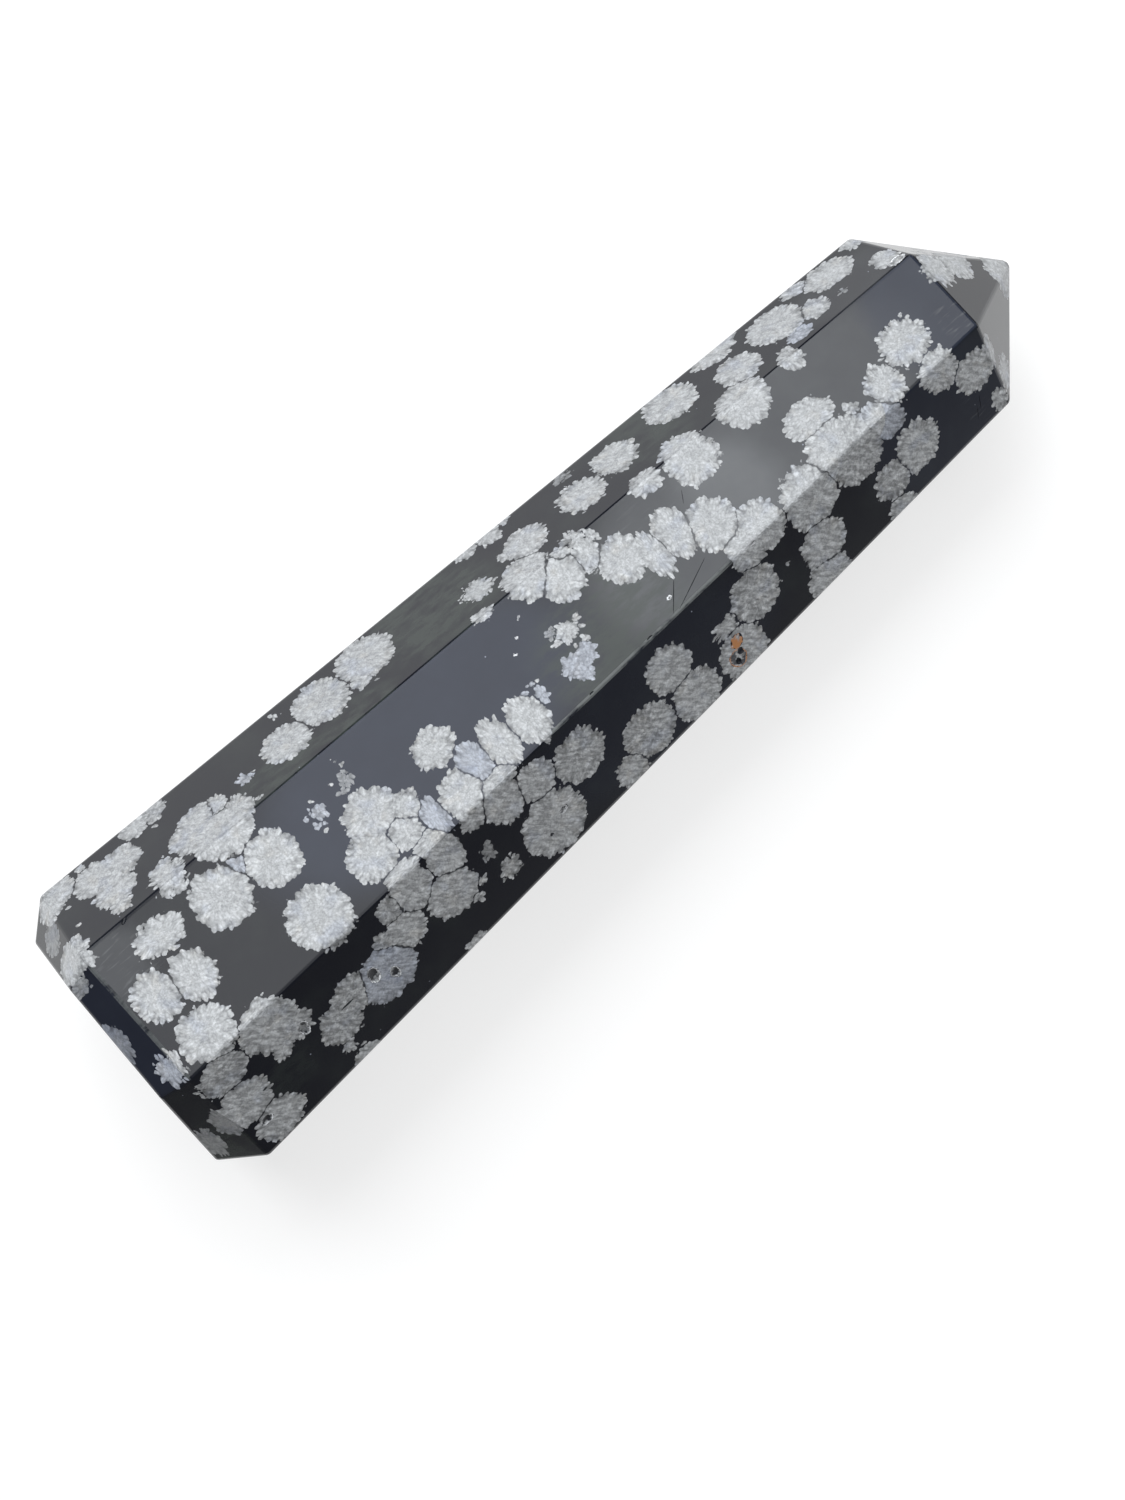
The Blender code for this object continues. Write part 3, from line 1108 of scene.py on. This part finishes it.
def snowflake_obsidian(colours):
    """Black glass with grey-white snowflakes."""
    material = bpy.data.materials.new("snowflake_obsidian")
    material.use_nodes = True
    bench = Bench(material.node_tree)
    bench.tree.nodes.clear()
    coords = bench.node("ShaderNodeTexCoord", {}, {})
    place = bench.stretch(coords[3], 1.0 / MM)
    snow = snowflake_field(bench, place)

    # Crystal: branches that fan out from the heart, with clefts between them near the rim, and fibres
    near_rim = 1.0 - bench.smooth(snow["depth"], 0.1, 1.0)
    clefts = bench.smooth(snow["distance"], 0.34, 0.74) * (0.10 + 0.38 * near_rim)
    twigs = bench.smooth(bench.cells(snow["moved"], 2.2)[0], 0.32, 0.76) * (0.22 + 0.08 * near_rim)
    curds = bench.cloud(place, 1.7, 4.0, 0.66)[0]
    specks = bench.blots(place, 3.1, 0.58, 0.72, roughness=0.6)
    rays = bench.cloud(snow["moved"], 0.9, 3.0, 0.62)[0]
    veins = 1.0 - bench.smooth((rays - 0.5).size(), 0.0, 0.06)
    strands = bench.joined(*(bench.move("DOT_PRODUCT", place, way) for way in FIBRE_WAYS))
    strands = bench.blots(strands, 1.0, 0.40, 0.62, roughness=0.55)
    # The stored layer brings the painted arris highlight, how much the fibres show, and the painted shade of
    # each flat
    skin, clear = bench.stored("skin")
    highlit, _, fibres = bench.parts(skin)
    bright = (1.0 - clefts) * (1.0 - twigs) * (1.0 - 0.16 * specks) * (1.0 - 0.18 * veins)
    bright = bright * (1.0 - 0.10 * bench.smooth(snow["depth"], 0.8, 2.2))
    bright = bright * (0.76 + 0.68 * curds) * (0.95 + 0.14 * snow["luck"]) * (1.0 - fibres * strands)
    bright = bright * (1.0 - snow["needles"] * bench.smooth(rays, 0.42, 0.62) * 0.38)
    patches = bench.blots(place, 0.55, 0.52, 0.72)
    blueness = (snow["blue"] * 0.65 + patches * 0.45).smallest(1.0)
    crystal = bench.mix_colours(blueness, opaque(colours.snow), opaque(colours.blue_snow))
    crystal = bench.tinted(crystal, bench.joined(bright, bright, bright))
    warm = bench.blots(place, 0.75, 0.55, 0.75)
    crystal = bench.mix_colours(warm * 0.5, crystal, bench.tinted(crystal, WARM_TINT))

    # A hollow has a thin rim painted with a highlight, or a rusty one, and a pit has none
    plain_pit = bench.smooth(snow["rust"], -0.6, -0.4)
    partial = bench.blots(place, 0.9, 0.40, 0.60)
    rim_glint_and_rust = snow["hollow"] * plain_pit * (1.0 - bench.smooth(snow["depth"], 0.06, 0.17))
    stained = bench.smooth(snow["rust"], 0.7, 0.9) * bench.smooth(curds, 0.32, 0.48)
    rusty = stained.largest(rim_glint_and_rust * bench.smooth(snow["rust"], 0.3, 0.45) * (0.8 + 0.2 * partial))
    rim_glint_and_rust = rim_glint_and_rust * (0.55 + 0.45 * partial)
    crystal = bench.mix_colours(rim_glint_and_rust, crystal, opaque(colours.glint))
    crystal = bench.mix_colours(rusty, crystal, opaque(colours.rust))
    bits = bench.blots(place, 1.6, 0.50, 0.58)
    inside = bench.mix(snow["hollow"] * plain_pit, 1.0, 0.25 + 2.2 * bits)
    white = (snow["white"] * inside).smallest(1.0).largest(rim_glint_and_rust).largest(rusty)

    # Glass: black, with soft clouds, motes, fine scratches and a painted highlight along some arrises
    kinds, scratched = bench.stored("clouds")
    pale, blue, green = bench.parts(kinds)
    drift = bench.cloud(place, 0.22, 3.0, 0.6)[0]
    wisps = bench.cloud(bench.move("MULTIPLY", place, (0.5, 1.4, 1.4)), 0.9, 4.0, 0.68)[0]
    patchy = 0.75 + 0.5 * drift
    mote, luck = bench.cells(place, 0.55)
    motes = (1.0 - bench.smooth(mote, 0.02, 0.045)) * bench.smooth(bench.parts(luck)[0], 0.55, 0.75)
    hatch = scratched * bench.blots(bench.move("MULTIPLY", place, (0.5, 3.6, 3.6)), 1.0, 0.55, 0.75)
    glass = opaque(colours.glass)
    for share, tint in (
        (bench.smooth(drift, 0.40, 0.80) * 0.18, colours.haze),
        ((pale * patchy).smallest(1.0), colours.pale_haze),
        ((blue * patchy).smallest(1.0), colours.blue_haze),
        (green * bench.smooth(wisps + drift * 0.3, 0.48, 0.78), colours.haze),
        (motes * 0.6, colours.blue_snow),
        (hatch * 0.55, colours.pale_haze),
        (highlit * bench.smooth(wisps, 0.30, 0.55), colours.highlit),
    ):
        glass = bench.mix_colours(share, glass, opaque(tint))

    # The snowflakes' share of the colour is cut by the painted shade of each flat
    colour = bench.mix_colours(snow["mask"] * white * clear, glass, crystal)
    roughness = bench.mix(snow["mask"], GLASS_ROUGHNESS, CRYSTAL_ROUGHNESS)
    height = snow["mask"] * (0.5 + 0.5 * curds) * RELIEF
    values = {"Strength": RELIEF_STRENGTH, "Distance": MM, "Height": height}
    bump = bench.node("ShaderNodeBump", {}, values)[0]
    values = {"Base Color": colour, "Roughness": roughness, "IOR": GLASS_IOR, "Normal": bump}
    shader = bench.node("ShaderNodeBsdfPrincipled", {}, values)[0]
    bench.node("ShaderNodeOutputMaterial", {}, {"Surface": shader})
    return material


class STONE_OT_obelisk(bpy.types.Operator):
    """Grind the obelisk from a block, polish it and grow its snowflakes"""

    bl_idname = "stone.obelisk"
    bl_label = "Polished obelisk"

    def execute(self, context):
        sizes = context.scene.stone_sizes
        low, high = (Vector(corner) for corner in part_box(CAD_STONE))
        stone = grind_block(cad_flats(sizes.narrowest_flat), low, high)
        ease_arrises(stone, sizes.arris_ease)
        scoop_out(stone)
        cut_into_tiles(stone, sizes.tile)
        listed = listed_snowflakes()
        store_snowflakes(stone, [*listed, *scattered_snowflakes(listed, stone)])
        select_only(stone)
        bpy.ops.object.shade_smooth_by_angle(angle=SMOOTH_UNDER)
        stone.data.materials.append(snowflake_obsidian(context.scene.glass_colours))
        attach(stone, "root")
        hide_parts(CAD_STONE)
        return {"FINISHED"}


# Camera as fitted to the photo: the lens's place, and which way the picture's right and down point
CAMERA_PLACE = Vector((-30.82, -23.70, 221.54)) * MM
CAMERA_RIGHT = Vector((0.73087, -0.68211, 0.0234))
CAMERA_DOWN = Vector((-0.67312, -0.72606, -0.14053))
CAMERA_LENS = 61.586
CAMERA_SENSOR = 36.0
CAMERA_CLIP = (0.01, 20.0)

# Softbox overhead, side light behind the stone, and the tent's radius, in metres
SOFTBOX_PLACE = (0.12, 0.085, 0.43)
SOFTBOX_SIZE = 0.46
SOFTBOX_COLOUR = (0.965, 0.985, 1.0)
SIDE_PLACE = (0.0, 0.30, 0.42)
SIDE_SIZE = 0.4
TENT_RADIUS = 1.2
TENT_SEGMENTS = 48
TENT_RINGS = 24

# Dark card that stands by the foot and glows a little: place of its middle, width and height, in metres,
# and its turn about the vertical
CARD_PLACE = (-0.075, -0.044, 0.03)
CARD_SIZE = (0.12, 0.06)
CARD_TURN = math.radians(-52.0)
CARD_GLOW = 0.12

BLACK = (0.0, 0.0, 0.0)
WHITE = (1.0, 1.0, 1.0)


class STAGE_OT_studio(bpy.types.Operator):
    """Lay the pale floor, hang the lights and set up the camera"""

    bl_idname = "stage.studio"
    bl_label = "Studio"

    def execute(self, context):
        studio = context.scene.studio_settings
        bpy.ops.object.select_all(action="DESELECT")
        bpy.ops.mesh.primitive_plane_add(size=studio.floor_size)
        floor = context.object
        floor.name = "pale_floor"
        floor.data.materials.append(matt("pale_floor", studio.floor_colour, studio.floor_glow))

        world = bpy.data.worlds.new("studio_room")
        world.use_nodes = True
        background = world.node_tree.nodes["Background"]
        background.inputs["Strength"].default_value = studio.room_light
        background.inputs["Color"].default_value = opaque(WHITE)
        context.scene.world = world

        bpy.ops.object.select_all(action="DESELECT")
        bpy.ops.mesh.primitive_uv_sphere_add(
            segments=TENT_SEGMENTS, ring_count=TENT_RINGS, radius=TENT_RADIUS
        )
        tent = context.object
        tent.name = "dim_tent"
        tent.data.materials.append(matt("dim_tent", BLACK, studio.tent_light))
        tent.visible_camera = False

        stand_card()
        hang_softbox("softbox", SOFTBOX_PLACE, SOFTBOX_SIZE, studio.softbox_power)
        side = hang_softbox("side_light", SIDE_PLACE, SIDE_SIZE, studio.side_power)
        side.visible_glossy = False

        bpy.ops.object.camera_add(location=CAMERA_PLACE)
        camera = context.object
        right = CAMERA_RIGHT.normalized()
        back = right.cross(-CAMERA_DOWN).normalized()
        up = back.cross(right)
        camera.rotation_euler = Matrix((right, up, back)).transposed().to_euler()
        camera.data.sensor_fit = "AUTO"
        camera.data.sensor_width = CAMERA_SENSOR
        camera.data.lens = CAMERA_LENS
        camera.data.clip_start, camera.data.clip_end = CAMERA_CLIP
        context.scene.camera = camera
        context.scene.view_settings.view_transform = "Standard"
        return {"FINISHED"}


def matt(name, colour, glow):
    """A plain matt material that may give off a little light."""
    material = bpy.data.materials.new(name)
    material.use_nodes = True
    shader = material.node_tree.nodes["Principled BSDF"]
    shader.inputs["Base Color"].default_value = opaque(colour)
    shader.inputs["Roughness"].default_value = 1.0
    shader.inputs["Specular IOR Level"].default_value = 0.0
    shader.inputs["Emission Color"].default_value = opaque(WHITE)
    shader.inputs["Emission Strength"].default_value = glow
    return material


def hang_softbox(name, place, size, power):
    """A square softbox that faces the stone."""
    bpy.ops.object.light_add(type="AREA", location=place)
    light = bpy.context.object
    light.name = name
    light.data.shape = "SQUARE"
    light.data.size = size
    light.data.energy = power
    light.data.color = SOFTBOX_COLOUR
    light.rotation_euler = Vector(place).to_track_quat("Z", "Y").to_euler()
    return light


def stand_card():
    """The upright dark card, which only the polish sees."""
    bpy.ops.object.select_all(action="DESELECT")
    upright = (math.pi / 2, 0.0, CARD_TURN)
    bpy.ops.mesh.primitive_plane_add(size=1.0, location=CARD_PLACE, rotation=upright)
    card = bpy.context.object
    card.name = "black_card_foot"
    card.scale = (*CARD_SIZE, 1.0)
    bpy.ops.object.transform_apply(location=True, rotation=True, scale=True)
    card.data.materials.append(matt("black_card", BLACK, CARD_GLOW))
    card.visible_camera = False
    card.visible_diffuse = False
    card.visible_shadow = False


class STONE_PT_panel(bpy.types.Panel):
    """Lists the pieces and their sizes"""

    bl_idname = "STONE_PT_panel"
    bl_label = "Snowflake obsidian obelisk"
    bl_space_type = "VIEW_3D"
    bl_region_type = "UI"
    bl_category = "Obelisk"

    def draw(self, context):
        layout = self.layout
        scene = context.scene
        layout.operator(STONE_OT_obelisk.bl_idname)
        layout.operator(STAGE_OT_studio.bl_idname)
        for title, group in (
            ("Stone", scene.stone_sizes),
            ("Colours", scene.glass_colours),
            ("Studio", scene.studio_settings),
        ):
            box = layout.box()
            box.label(text=title)
            for name in group.__annotations__:
                box.prop(group, name)


CLASSES = (StoneSizes, GlassColours, StudioSettings, STONE_OT_obelisk, STAGE_OT_studio, STONE_PT_panel)


def register():
    for cls in CLASSES:
        bpy.utils.register_class(cls)
    bpy.types.Scene.stone_sizes = bpy.props.PointerProperty(type=StoneSizes)
    bpy.types.Scene.glass_colours = bpy.props.PointerProperty(type=GlassColours)
    bpy.types.Scene.studio_settings = bpy.props.PointerProperty(type=StudioSettings)


def unregister():
    del bpy.types.Scene.studio_settings
    del bpy.types.Scene.glass_colours
    del bpy.types.Scene.stone_sizes
    for cls in reversed(CLASSES):
        bpy.utils.unregister_class(cls)


def main():
    register()
    bpy.ops.stone.obelisk()
    bpy.ops.stage.studio()


if __name__ == "__main__":
    main()
